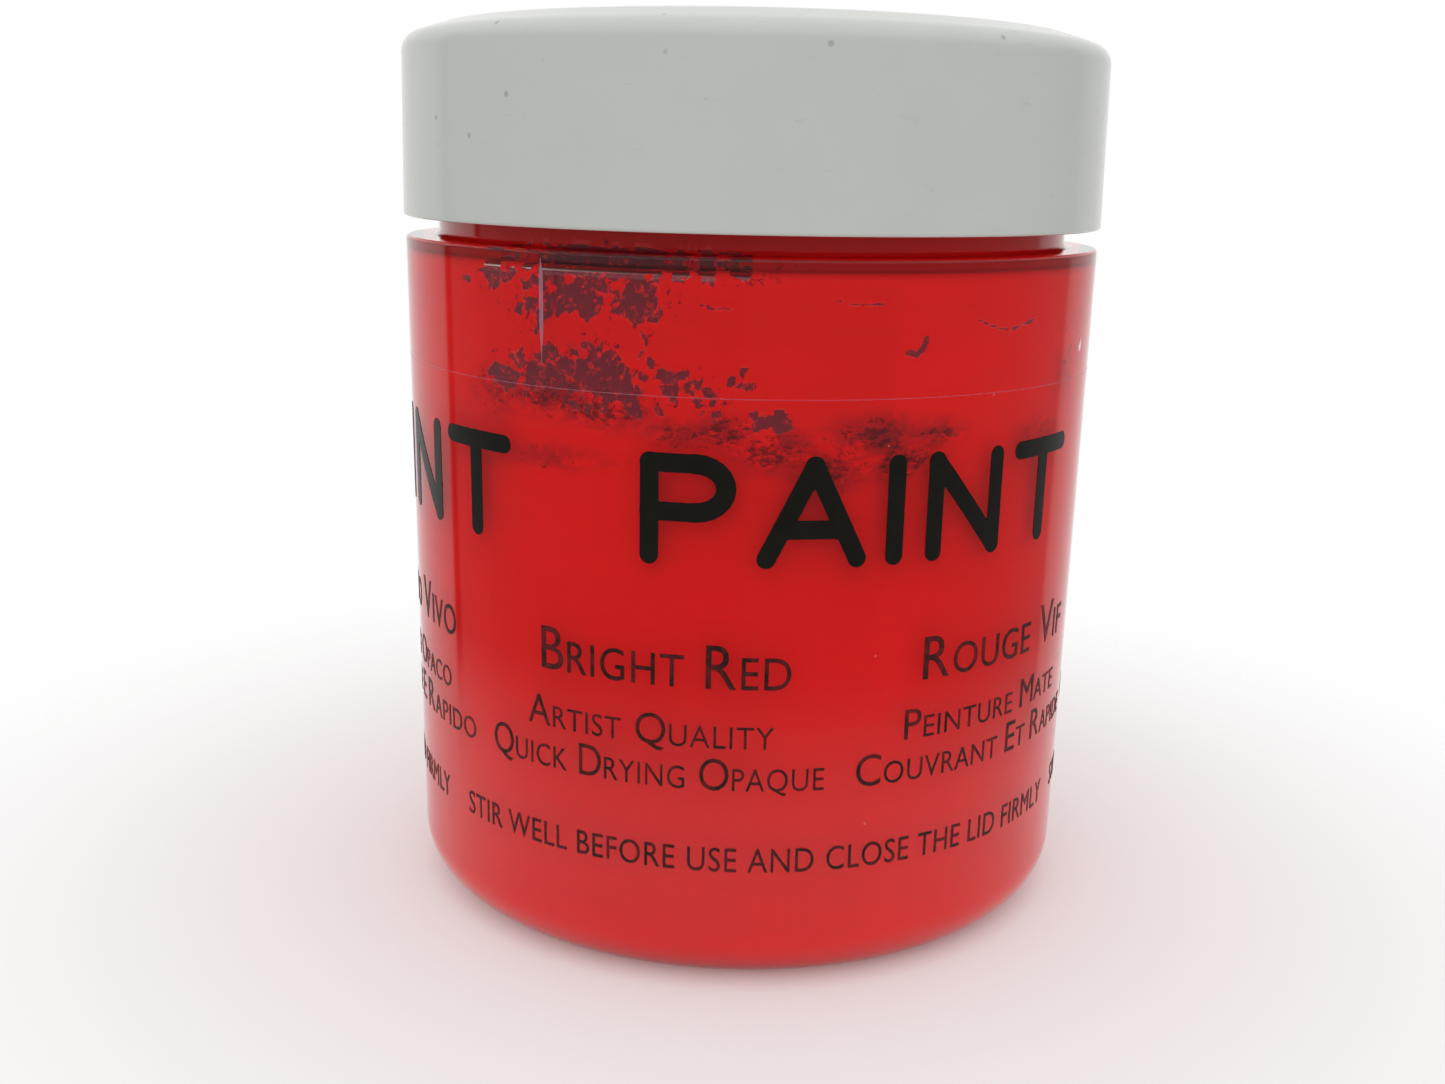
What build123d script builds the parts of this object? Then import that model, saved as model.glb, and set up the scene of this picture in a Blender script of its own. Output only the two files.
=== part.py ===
from build123d import *

import os

# A clear plastic paint jar with a white screw cap, part full of paint.
# Millimetres, +Z up. The origin is the centre of the base, on the surface the jar stands on.

# Jar body: a round clear shell with a slight draft, a square shoulder and a threaded neck.
SHOULDER_Z = 53.4
BODY_SHOULDER_R = 28.0
BODY_BASE_R = 27.4
BASE_CORNER = 4.2
SHOULDER_EDGE = 0.3
BODY_WALL = 1.4
FLOOR = 1.4
SHOULDER_THICKNESS = 1.0
INNER_BASE_CORNER = 1.8
INNER_SHOULDER_CORNER = 0.8

# The underside is hollowed, so that the jar stands on a ring.
RECESS_R = 19.5
RECESS_DEPTH = 0.5
RECESS_SLOPE = 0.5

# Neck, from the shoulder to the rim.
RIM_Z = 67.2
NECK_R = 25.4
NECK_BORE_R = 23.9
NECK_ROOT_FILLET = 0.5
RIM_EDGE = 0.45

# Screw thread: one start, right-handed. Widths are measured along the axis.
THREAD_LEAD = 4.2
THREAD_EMBED = 0.3
JAR_THREAD_CREST_R = 26.4
JAR_THREAD_START_Z = 57.4
JAR_THREAD_TURNS = 1.5
JAR_THREAD_ROOT_WIDTH = 2.2
JAR_THREAD_CREST_WIDTH = 0.9
CAP_THREAD_CREST_R = 25.75
CAP_THREAD_TURNS = 1.25
CAP_THREAD_ROOT_WIDTH = 2.0
CAP_THREAD_CREST_WIDTH = 0.8
# The closed cap's thread bears up against the jar's thread, this far below its middle.
CAP_THREAD_DROP = 1.4
CAP_THREAD_START_ANGLE = 30.0

# Screw cap: a smooth round shell. Round the flat of its top, the edge slopes down to the corner.
CAP_SKIRT_Z = 54.9
CAP_TOP_Z = 69.5
CAP_SKIRT_R = 28.15
CAP_CORNER_R = 28.0
CAP_CORNER_Z = 68.4
CAP_CORNER = 1.5
CAP_FLAT_R = 24.5
CAP_FLAT_EDGE = 3.0
CAP_LIP_EDGE = 0.25
CAP_BORE_R = 26.8
LINER_THICKNESS = 1.0
LINER_R = 26.6
LINER_SEAT_Z = RIM_Z + LINER_THICKNESS

# A low bead inside the cap, just under the liner, keeps the liner from dropping out.
BEAD_CREST_R = 26.45
BEAD_WIDTH = 0.7
BEAD_DROP = 0.15

# Paint: the bulk fills the jar up to its level, and a dried film coats the wall above it.
PAINT_LEVEL_Z = 41.5
FILM = 0.2
FILM_TOP_Z = 65.0


def body_outer_r(z):
    """The body's outer radius at a height, on its straight drafted wall."""
    draft = (BODY_SHOULDER_R - BODY_BASE_R) / SHOULDER_Z
    return BODY_BASE_R + draft * z


def body_inner_r(z):
    """The body's inner radius at a height, on its straight drafted wall."""
    return body_outer_r(z) - BODY_WALL


def turned(outline):
    """A solid of revolution about Z. Each corner of its outline is (radius, height, rounding)."""
    with BuildPart() as solid:
        with BuildSketch(Plane.XZ):
            Polygon(*[(r, z) for r, z, _ in outline], align=None)
            for r, z, rounding in outline:
                if rounding:
                    corner = vertices().sort_by_distance((r, z))[0]
                    fillet(corner, rounding)
        revolve(axis=Axis.Z)
    return solid.part


def thread_ridge(root_r, crest_r, root_width, crest_width, start_z, start_angle, turns):
    """A helical ridge from root_r to crest_r, with its root sunk a little into the wall."""
    outwards = 1 if crest_r > root_r else -1
    slope = (root_width - crest_width) / abs(crest_r - root_r)
    sunk_r = root_r - outwards * THREAD_EMBED
    sunk_width = root_width + slope * THREAD_EMBED
    path = Helix(THREAD_LEAD, turns * THREAD_LEAD, root_r, center=(0, 0, start_z))
    with BuildSketch(Plane.XZ) as section:
        with Locations((0, start_z)):
            Polygon(
                (sunk_r, -sunk_width / 2),
                (crest_r, -crest_width / 2),
                (crest_r, crest_width / 2),
                (sunk_r, sunk_width / 2),
                align=None,
            )
    ridge = sweep(section.sketch, path=path, is_frenet=True)
    return Rot(0, 0, start_angle) * ridge


def jar_body():
    """The clear shell: recessed base, drafted wall, shoulder and threaded neck."""
    shoulder_under_z = SHOULDER_Z - SHOULDER_THICKNESS
    shell = turned(
        [
            (0, RECESS_DEPTH, 0),
            (RECESS_R - RECESS_SLOPE, RECESS_DEPTH, 0),
            (RECESS_R, 0, 0),
            (body_outer_r(0), 0, BASE_CORNER),
            (body_outer_r(SHOULDER_Z), SHOULDER_Z, SHOULDER_EDGE),
            (NECK_R, SHOULDER_Z, NECK_ROOT_FILLET),
            (NECK_R, RIM_Z, RIM_EDGE),
            (NECK_BORE_R, RIM_Z, RIM_EDGE),
            (NECK_BORE_R, shoulder_under_z, 0),
            (body_inner_r(shoulder_under_z), shoulder_under_z, INNER_SHOULDER_CORNER),
            (body_inner_r(FLOOR), FLOOR, INNER_BASE_CORNER),
            (0, FLOOR, 0),
        ]
    )
    ridge = thread_ridge(
        NECK_R,
        JAR_THREAD_CREST_R,
        JAR_THREAD_ROOT_WIDTH,
        JAR_THREAD_CREST_WIDTH,
        JAR_THREAD_START_Z,
        0,
        JAR_THREAD_TURNS,
    )
    return shell + ridge


def screw_cap():
    """The white cap: a thin skirt and top, an inner thread and the liner's retaining bead."""
    bead_z = RIM_Z - BEAD_DROP - BEAD_WIDTH / 2
    shell = turned(
        [
            (0, LINER_SEAT_Z, 0),
            (0, CAP_TOP_Z, 0),
            (CAP_FLAT_R, CAP_TOP_Z, CAP_FLAT_EDGE),
            (CAP_CORNER_R, CAP_CORNER_Z, CAP_CORNER),
            (CAP_SKIRT_R, CAP_SKIRT_Z, CAP_LIP_EDGE),
            (CAP_BORE_R, CAP_SKIRT_Z, CAP_LIP_EDGE),
            (CAP_BORE_R, bead_z - BEAD_WIDTH / 2, 0),
            (BEAD_CREST_R, bead_z, 0),
            (CAP_BORE_R, bead_z + BEAD_WIDTH / 2, 0),
            (CAP_BORE_R, LINER_SEAT_Z, 0),
        ]
    )
    start_z = JAR_THREAD_START_Z - CAP_THREAD_DROP + THREAD_LEAD * CAP_THREAD_START_ANGLE / 360
    ridge = thread_ridge(
        CAP_BORE_R,
        CAP_THREAD_CREST_R,
        CAP_THREAD_ROOT_WIDTH,
        CAP_THREAD_CREST_WIDTH,
        start_z,
        CAP_THREAD_START_ANGLE,
        CAP_THREAD_TURNS,
    )
    return shell + ridge


def cap_liner():
    """The soft sealing disc in the cap, which the rim presses on when the cap is closed."""
    return turned(
        [
            (0, RIM_Z, 0),
            (LINER_R, RIM_Z, 0),
            (LINER_R, LINER_SEAT_Z, 0),
            (0, LINER_SEAT_Z, 0),
        ]
    )


def paint():
    """The bulk of the paint, which fills the jar up to its level."""
    return turned(
        [
            (0, FLOOR, 0),
            (body_inner_r(FLOOR), FLOOR, INNER_BASE_CORNER),
            (body_inner_r(PAINT_LEVEL_Z), PAINT_LEVEL_Z, 0),
            (0, PAINT_LEVEL_Z, 0),
        ]
    )


def dried_paint_film():
    """Dried paint on the wall above the level, under the shoulder and up inside the neck."""
    under_z = SHOULDER_Z - SHOULDER_THICKNESS
    return turned(
        [
            (body_inner_r(PAINT_LEVEL_Z), PAINT_LEVEL_Z, 0),
            (body_inner_r(under_z), under_z, INNER_SHOULDER_CORNER),
            (NECK_BORE_R, under_z, 0),
            (NECK_BORE_R, FILM_TOP_Z, 0),
            (NECK_BORE_R - FILM, FILM_TOP_Z, 0),
            (NECK_BORE_R - FILM, under_z - FILM, 0),
            (body_inner_r(under_z) - FILM, under_z - FILM, INNER_SHOULDER_CORNER - FILM),
            (body_inner_r(PAINT_LEVEL_Z) - FILM, PAINT_LEVEL_Z, 0),
        ]
    )


os.makedirs("parts", exist_ok=True)
for piece in (jar_body, screw_cap, cap_liner, paint, dried_paint_film):
    export_step(piece(), f"parts/{piece.__name__}.step")
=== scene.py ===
import math

import bmesh
import bpy
import numpy as np
from mathutils import Matrix, Vector, noise


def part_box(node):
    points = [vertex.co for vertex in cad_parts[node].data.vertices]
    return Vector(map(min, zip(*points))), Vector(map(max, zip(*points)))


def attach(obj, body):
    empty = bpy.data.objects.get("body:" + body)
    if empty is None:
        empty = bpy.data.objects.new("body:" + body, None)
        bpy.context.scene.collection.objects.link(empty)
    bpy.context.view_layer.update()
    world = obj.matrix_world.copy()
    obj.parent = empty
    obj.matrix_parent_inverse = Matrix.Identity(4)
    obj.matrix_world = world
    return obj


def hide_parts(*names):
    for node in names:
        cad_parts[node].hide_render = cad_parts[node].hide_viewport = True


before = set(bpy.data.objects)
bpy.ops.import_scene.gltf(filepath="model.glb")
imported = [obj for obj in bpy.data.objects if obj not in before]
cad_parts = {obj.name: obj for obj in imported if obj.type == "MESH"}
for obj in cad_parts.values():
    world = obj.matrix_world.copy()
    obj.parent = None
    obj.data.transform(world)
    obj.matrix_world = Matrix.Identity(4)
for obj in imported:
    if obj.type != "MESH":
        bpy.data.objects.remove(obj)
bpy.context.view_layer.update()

# Vector noise starts from a seed, so that the film flakes the same way each time.
NOISE_SEED = 7
noise.seed_set(NOISE_SEED)

# A clear plastic paint jar with a white screw cap, printed in black and part full of red paint.
# Lengths are in the object's own millimetres until a mesh is made, which MM turns into metres.
# Angles round the jar are in degrees from the front, -Y, and grow towards +X.
MM = 0.001


def top(node):
    """A CAD node's highest point, in millimetres."""
    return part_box(node)[1].z / MM


def bottom(node):
    """A CAD node's lowest point, in millimetres."""
    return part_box(node)[0].z / MM


# Jar body, as in the CAD model.
SHOULDER_Z = 53.4
BODY_SHOULDER_R = 28.0
BODY_BASE_R = 27.4
BODY_WALL = 1.4
BASE_CORNER = 4.2
INNER_BASE_CORNER = 1.8
SHOULDER_EDGE = 0.3
SHOULDER_UNDER_Z = SHOULDER_Z - 1.0
INNER_SHOULDER_CORNER = 0.8
FLOOR_Z = bottom("paint")
RECESS_R = 19.5
RECESS_DEPTH = 0.5
RECESS_SLOPE = 0.6
GATE_R = 1.35
GATE_RISE = 0.2
NECK_R = 25.4
NECK_BORE_R = 23.9
NECK_ROOT_FILLET = 0.5
RIM_Z = top("jar_body")
RIM_EDGE = 0.45

# Screw thread, as in the CAD model. CAD_TURN is the angle of the CAD model's +X axis.
THREAD_LEAD = 4.2
JAR_THREAD = {"start_z": 57.4, "start": 0.0, "turns": 1.5, "height": 1.0, "root": 2.15, "crest": 0.8}
CAP_THREAD = {"start_z": 56.0, "start": 30.0, "turns": 1.25, "height": -1.05, "root": 1.95, "crest": 0.7}
CAD_TURN = 90.0
RUN_OUT = 24.0

# Screw cap and its liner, as in the CAD model.
CAP_SKIRT_Z = bottom("screw_cap")
CAP_TOP_Z = top("screw_cap")
CAP_SKIRT_R = 28.14
CAP_CORNER_R = 28.0
CAP_CORNER_Z = 68.4
CAP_CORNER = 1.5
CAP_FLAT_R = 24.5
CAP_FLAT_EDGE = 3.0
CAP_LIP_EDGE = 0.25
CAP_BORE_R = 26.8
LINER_R = 26.6
LINER_TOP_Z = top("cap_liner")
BEAD_CREST_R = 26.45
BEAD_Z = RIM_Z - 0.5
BEAD_HALF = 0.35

# Paint and dried film. Both press a little into the wall, so that no air shows between.
PAINT_LEVEL_Z = top("paint")
FILM = 0.2
FILM_TOP_Z = top("dried_paint_film")
PRESSED_IN = 0.02
FLAKE_DEPTH = 0.1

# Hair-thin flash left by the mould: one ring round the body, and a rib down each side from the shoulder.
# Its pale lilac colour is a painted glint along these lines.
FLASH_RING_Z = 44.05
FLASH_RING_HALF = 0.018
FLASH_OUT = 0.03
FLASH_ANGLES = (-30.8, 149.2)
FLASH_HALF = 0.17
FLASH_FOOT_Z = 45.6
FLASH_TOP_Z = 52.9

# Ink stands this proud of the body, and reaches this far into it.
INK = 0.03
INK_SUNK = 0.01

# Edges sharper than this are shaded sharp. An arc has a point about every so many degrees.
SHARP_ANGLE = 38
ARC_STEP = 7


def body_r(z):
    """The body's outer radius at a height."""
    return BODY_BASE_R + (BODY_SHOULDER_R - BODY_BASE_R) * z / SHOULDER_Z


def wall_r(z):
    """The body's inner radius at a height."""
    return body_r(z) - BODY_WALL


# ---------- mesh making ----------


def rounded(before, corner, after, rounding):
    """Points along the arc that rounds a corner of an outline, every few degrees."""
    to_before = (before - corner).normalized()
    to_after = (after - corner).normalized()
    angle = to_before.angle(to_after)
    reach = rounding / math.tan(angle / 2)
    centre = corner + (to_before + to_after).normalized() * (rounding / math.sin(angle / 2))
    first = corner + to_before * reach - centre
    last = corner + to_after * reach - centre
    sweep = first.angle_signed(last)
    steps = max(3, math.ceil(abs(sweep) / math.radians(ARC_STEP)))
    points = []
    for i in range(steps + 1):
        turn = -sweep * i / steps
        x = first.x * math.cos(turn) - first.y * math.sin(turn)
        y = first.x * math.sin(turn) + first.y * math.cos(turn)
        points.append(centre + Vector((x, y)))
    return points


def outline(corners, closed=False):
    """Points along a rounded outline. Each corner is (radius, height, rounding, spacing to the next)."""
    places = [Vector(corner[:2]) for corner in corners]
    count = len(corners)
    bends = []
    for i, (_, _, rounding, _) in enumerate(corners):
        if rounding:
            bends.append(rounded(places[i - 1], places[i], places[(i + 1) % count], rounding))
        else:
            bends.append([places[i]])
    points = []
    for i in range(count):
        points += bends[i]
        if i == count - 1 and not closed:
            break
        start, end = bends[i][-1], bends[(i + 1) % count][0]
        length = (end - start).length
        guard = min(0.12, length / 4)
        spacing = corners[i][3] or length
        inner = max(1, math.ceil((length - 2 * guard) / spacing))
        for k in range(inner + 1):
            along = guard + (length - 2 * guard) * k / inner
            points.append(start.lerp(end, along / length))
    return [(p.x, p.y) for p in points]


def even_angles(count):
    """Evenly spaced angles round the jar, in degrees."""
    return [360 * i / count for i in range(count)]


def new_object(name, vertices, faces, material, body, stands_for=None):
    """A smooth mesh piece, made in millimetres, riding on its body."""
    mesh = bpy.data.meshes.new(name)
    mesh.from_pydata([tuple(c * MM for c in v) for v in vertices], [], faces)
    mesh.validate()
    mesh.materials.append(material)
    piece = bpy.data.objects.new(name, mesh)
    bpy.context.scene.collection.objects.link(piece)
    edit = bmesh.new()
    edit.from_mesh(mesh)
    bmesh.ops.recalc_face_normals(edit, faces=edit.faces)
    edit.to_mesh(mesh)
    edit.free()
    mesh.shade_smooth()
    mesh.set_sharp_from_angle(angle=math.radians(SHARP_ANGLE))
    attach(piece, body)
    if stands_for:
        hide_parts(stands_for)
    return piece


def turned(rows, angles, closed=False, shape=None):
    """Vertices and faces of a solid of revolution. shape(r, z, angle) may move the points."""
    turn = np.radians(np.array(angles))[None, :]
    r = np.array([p[0] for p in rows])[:, None] + 0 * turn
    z = np.array([p[1] for p in rows])[:, None] + 0 * turn
    if shape:
        r, z = shape(r, z, np.degrees(turn) + 0 * r)
    x, y = r * np.sin(turn), -r * np.cos(turn)
    vertices, rings = [], []
    for i in range(len(rows)):
        if rows[i][0] < 1e-6:
            rings.append([len(vertices)])
            vertices.append((0.0, 0.0, float(z[i, 0])))
        else:
            rings.append(list(range(len(vertices), len(vertices) + len(angles))))
            vertices += list(zip(x[i].tolist(), y[i].tolist(), z[i].tolist()))
    faces = []
    pairs = list(zip(rings, rings[1:])) + ([(rings[-1], rings[0])] if closed else [])
    for low, high in pairs:
        for j in range(len(angles)):
            k = (j + 1) % len(angles)
            if len(low) == 1:
                faces.append((low[0], high[k], high[j]))
            elif len(high) == 1:
                faces.append((low[j], low[k], high[0]))
            else:
                faces.append((low[j], low[k], high[k], high[j]))
    return vertices, faces


def smooth_step(x):
    """0 below 0, 1 above 1 and a smooth rise between."""
    x = np.clip(x, 0.0, 1.0)
    return x * x * (3 - 2 * x)


def thread_height(angle, z, thread):
    """How far a screw thread's ridge stands from its wall, at an angle and height."""
    height = np.zeros_like(z)
    for turn in range(-1, math.ceil(thread["turns"]) + 1):
        along = (angle - CAD_TURN - thread["start"]) % 360 + 360 * turn
        middle = thread["start_z"] + THREAD_LEAD * (along + thread["start"]) / 360
        flank = (thread["root"] / 2 - np.abs(z - middle)) / (thread["root"] - thread["crest"]) * 2
        ends = smooth_step(along / RUN_OUT) * smooth_step((360 * thread["turns"] - along) / RUN_OUT)
        height = np.maximum(height, smooth_step(flank) * ends)
    return height * thread["height"]


# ---------- node making ----------


class Nodes:
    """A node tree being built, with short ways to add and link nodes."""

    def __init__(self, owner):
        owner.use_nodes = True
        self.tree = owner.node_tree
        self.tree.nodes.clear()

    def add(self, kind, inputs=None, **settings):
        node = self.tree.nodes.new(kind)
        for name, value in settings.items():
            setattr(node, name, value)
        for name, value in (inputs or {}).items():
            if isinstance(value, bpy.types.NodeSocket):
                self.tree.links.new(value, node.inputs[name])
            else:
                node.inputs[name].default_value = value
        return node

    def maths(self, operation, a, b=0.0, clamp=False):
        return self.add("ShaderNodeMath", {0: a, 1: b}, operation=operation, use_clamp=clamp).outputs[0]

    def mix(self, share, a, b):
        return self.add("ShaderNodeMix", {0: share, 6: a, 7: b}, data_type="RGBA").outputs[2]


class Shader(Nodes):
    """A material being built."""

    def __init__(self, name):
        self.material = bpy.data.materials.new(name)
        super().__init__(self.material)
        self.place = self.add("ShaderNodeTexCoord").outputs["Object"]

    def noise(self, scale, detail=3.0, rough=0.55, stretch=(1, 1, 1), distort=0.0):
        """Noise of about `scale` repeats a millimetre, stretched along the jar's axes."""
        mapping = self.add("ShaderNodeMapping", {"Vector": self.place, "Scale": stretch})
        values = {
            "Vector": mapping.outputs[0],
            "Scale": scale / MM,
            "Detail": detail,
            "Roughness": rough,
            "Distortion": distort,
        }
        return self.add("ShaderNodeTexNoise", values).outputs["Fac"]

    def between(self, value, low, high, to_low=0.0, to_high=1.0):
        """value carried from low..high to to_low..to_high, with smooth ends."""
        values = {"Value": value, 1: low, 2: high, 3: to_low, 4: to_high}
        return self.add("ShaderNodeMapRange", values, interpolation_type="SMOOTHSTEP").outputs[0]

    def bump(self, height, depth, normal=None):
        """A bump of `depth` millimetres for a height from 0 to 1."""
        values = {"Height": height, "Distance": depth * MM, "Strength": 1.0}
        if normal:
            values["Normal"] = normal
        return self.add("ShaderNodeBump", values).outputs[0]

    def attribute(self, name):
        return self.add("ShaderNodeAttribute", attribute_name=name).outputs["Fac"]

    def principled(self, inputs):
        return self.add("ShaderNodeBsdfPrincipled", inputs)

    def finish(self, shader):
        self.add("ShaderNodeOutputMaterial", {"Surface": shader.outputs[0]})
        return self.material


def grey(value):
    return (value, value, value, 1.0)


def clear_plastic():
    """Polished clear plastic, faintly scratched. Lamps shine through it."""
    s = Shader("clear_plastic")
    scratches = s.between(s.noise(1.6, 6.0, 0.7, (1, 1, 6)), 0.62, 0.75)
    body = s.principled(
        {
            "Base Color": (0.975, 0.985, 0.975, 1.0),
            "Transmission Weight": 1.0,
            "IOR": 1.49,
            "Roughness": s.maths("ADD", s.maths("MULTIPLY", scratches, 0.05), 0.02),
        }
    )
    passing = s.add("ShaderNodeBsdfTransparent", {"Color": (0.95, 0.955, 0.95, 1.0)})
    shadow = s.add("ShaderNodeLightPath").outputs["Is Shadow Ray"]
    return s.finish(s.add("ShaderNodeMixShader", {0: shadow, 1: body.outputs[0], 2: passing.outputs[0]}))


def glint_painted_plastic():
    """Clear plastic with a faint lilac cast, for the mould's flash: the cast is a painted glint along
    the flash lines.
    """
    s = Shader("glint_painted_plastic")
    # worn only varies the painted glint's lilac colour and its roughness.
    worn = s.noise(1.2, 4.0, 0.7)
    body = s.principled(
        {
            "Base Color": s.mix(worn, (0.66, 0.42, 0.76, 1.0), (0.90, 0.78, 0.97, 1.0)),
            "Transmission Weight": 0.84,
            "IOR": 1.49,
            "Roughness": s.between(worn, 0.3, 0.7, 0.25, 0.5),
        }
    )
    return s.finish(body)


def white_plastic():
    """Off-white moulded polypropylene with faint mottling, scuffs and dark specks."""
    s = Shader("white_plastic")
    mottle = s.noise(0.12, 3.0)
    tint = s.mix(mottle, (0.575, 0.592, 0.55, 1.0), (0.62, 0.637, 0.605, 1.0))
    dots = s.add("ShaderNodeTexVoronoi", {"Vector": s.place, "Scale": 0.36 / MM})
    rare = s.between(s.add("ShaderNodeSeparateColor", {0: dots.outputs["Color"]}).outputs[0], 0.62, 0.63)
    near = s.between(dots.outputs["Distance"], 0.10, 0.04)
    speck = s.maths("MULTIPLY", s.maths("MULTIPLY", rare, near), 0.42)
    scuffs = s.between(s.noise(0.45, 8.0, 0.78, (1, 1, 4)), 0.60, 0.74)
    worn = s.mix(speck, tint, (0.16, 0.155, 0.14, 1.0))
    dirty = s.mix(s.maths("MULTIPLY", scuffs, 0.4), worn, (0.42, 0.42, 0.38, 1.0))
    skin = s.bump(s.noise(0.9, 4.0), 0.006)
    body = s.principled(
        {
            "Base Color": dirty,
            "Roughness": s.maths("ADD", s.maths("MULTIPLY", mottle, 0.08), 0.12),
            "Specular IOR Level": 0.5,
            "Normal": s.bump(scuffs, 0.01, skin),
        }
    )
    return s.finish(body)


def liner_foam():
    """White closed-cell foam, with fine cells and a faint bruise where the rim presses."""
    s = Shader("liner_foam")
    cells = s.add("ShaderNodeTexVoronoi", {"Vector": s.place, "Scale": 3.2 / MM}).outputs["Distance"]
    body = s.principled(
        {
            "Base Color": s.mix(s.noise(0.3), (0.83, 0.83, 0.79, 1.0), (0.9, 0.9, 0.87, 1.0)),
            "Roughness": 0.8,
            "Normal": s.bump(cells, 0.03),
        }
    )
    return s.finish(body)


RED = (0.98, 0.006, 0.006, 1.0)
RED_DEEP = (0.94, 0.006, 0.007, 1.0)
SMEAR = (0.23, 0.007, 0.015, 1.0)
# The next two colours are painted shade: the dim inside of the jar, seen through the wall where the film
# has come away.
INSIDE_SHADE = (0.15, 0.004, 0.014, 1.0)
INSIDE_SHADE_PALE = (0.27, 0.008, 0.026, 1.0)
GRIT = (0.085, 0.006, 0.009, 1.0)


def paint_colour(s):
    """Red paint against the wall: even, with faint clouds, streaks and dark smears."""
    clouds = s.noise(0.05, 4.0, 0.6)
    streaks = s.noise(0.10, 3.0, 0.6, (1, 1, 5))
    even = s.mix(s.between(s.maths("ADD", clouds, streaks), 0.8, 1.25), RED_DEEP, RED)
    cloudy = s.noise(0.35, 5.0, 0.7, (1, 1, 1.6), 0.4)
    smear = s.attribute("smear")
    smeared = s.mix(s.maths("MULTIPLY", smear, s.between(cloudy, 0.36, 0.60, 0.0, 0.85)), even, SMEAR)
    gritty = s.maths("ADD", s.noise(1.3, 7.0, 0.82, (1, 1, 1.7)), s.maths("MULTIPLY", smear, 0.19))
    grit = s.maths("MULTIPLY", s.between(gritty, 0.65, 0.71), s.between(smear, 0.05, 0.3))
    smeared = s.mix(s.maths("MULTIPLY", grit, 0.8), smeared, GRIT)
    dust = s.add("ShaderNodeTexVoronoi", {"Vector": s.place, "Scale": 0.45 / MM})
    rare = s.between(s.add("ShaderNodeSeparateColor", {0: dust.outputs["Color"]}).outputs[1], 0.90, 0.91)
    speck = s.maths("MULTIPLY", rare, s.between(dust.outputs["Distance"], 0.055, 0.03))
    return s.mix(s.maths("MULTIPLY", speck, 0.55), smeared, (0.95, 0.45, 0.35, 1.0))


def wet_paint():
    """The bulk of the paint: a flat red at the wall, and glossy where its top is open to the air."""
    s = Shader("red_paint")
    open_top = s.attribute("open")
    skin = s.bump(s.noise(0.35, 3.0), 0.10)
    body = s.principled(
        {
            "Base Color": paint_colour(s),
            "Roughness": s.between(open_top, 0.0, 1.0, 0.9, 0.28),
            "Specular IOR Level": 0.12,
            "Coat Weight": open_top,
            "Normal": skin,
        }
    )
    return s.finish(body)


def dried_paint():
    """Dried paint on the wall. Where the film has come away, maroon patches are painted shade: the dim
    inside of the jar seen through the clear wall.
    """
    s = Shader("dried_paint")
    ragged = s.maths("MULTIPLY", s.maths("SUBTRACT", s.noise(1.6, 5.0, 0.7), 0.5), 0.5)
    field = s.maths("ADD", s.attribute("bare"), ragged)
    bare = s.between(field, 0.0, 0.05)
    mottle = s.noise(0.9, 5.0, 0.65)
    flecks = s.between(s.noise(1.5, 6.0, 0.8), 0.54, 0.62, 0.0, 0.75)
    # Painted shade for the bare places, as of the dim inside seen through the wall, with flecks of red
    # film left on it.
    shade_seen_through = s.mix(flecks, s.mix(mottle, INSIDE_SHADE, INSIDE_SHADE_PALE), RED_DEEP)
    body = s.principled(
        {
            "Base Color": s.mix(bare, paint_colour(s), shade_seen_through),
            "Roughness": 0.75,
            "Specular IOR Level": 0.15,
            "Normal": s.bump(s.noise(0.8, 4.0), 0.03),
        }
    )
    return s.finish(body)


def black_ink():
    """Screen-printed ink: near black, slightly glossy and not quite even."""
    s = Shader("black_ink")
    uneven = s.mix(s.noise(0.8, 4.0), (0.004, 0.0035, 0.002, 1.0), (0.011, 0.010, 0.007, 1.0))
    body = s.principled(
        {
            "Base Color": uneven,
            "Roughness": 0.36,
            "Specular IOR Level": 0.22,
            "Normal": s.bump(s.noise(2.5, 3.0), 0.003),
        }
    )
    return s.finish(body)


def worn_ink():
    """The thin ink of the small rows: worn, so that some red shows through it in patches."""
    s = Shader("worn_ink")
    wear = s.between(s.noise(0.7, 6.0, 0.75), 0.40, 0.62)
    body = s.principled(
        {
            "Base Color": s.mix(wear, (0.014, 0.006, 0.005, 1.0), (0.13, 0.009, 0.010, 1.0)),
            "Roughness": 0.45,
            "Specular IOR Level": 0.2,
            "Normal": s.bump(s.noise(2.5, 3.0), 0.003),
        }
    )
    return s.finish(body)


# ---------- camera, light and floor ----------


def camera():
    """A close camera a little above the middle of the jar, looking slightly down."""
    distance, height = 134.0, 59.9
    yaw, pitch, roll = math.radians(-0.77), math.radians(13.62), math.radians(1.23)
    ahead = Vector((math.sin(yaw) * math.cos(pitch), math.cos(yaw) * math.cos(pitch), -math.sin(pitch)))
    level = Vector((math.cos(yaw), -math.sin(yaw), 0))
    upright = level.cross(ahead)
    right = level * math.cos(roll) + upright * math.sin(roll)
    up = upright * math.cos(roll) - level * math.sin(roll)
    data = bpy.data.cameras.new("camera")
    data.sensor_width = 36.0
    data.lens = 39.65
    data.clip_start = 0.005
    data.clip_end = 20.0
    seen = bpy.data.objects.new("camera", data)
    turn = Matrix((right, up, -ahead)).transposed()
    seen.matrix_world = Matrix.Translation(Vector((0, -distance * MM, height * MM))) @ turn.to_4x4()
    bpy.context.scene.collection.objects.link(seen)
    bpy.context.scene.camera = seen


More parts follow.
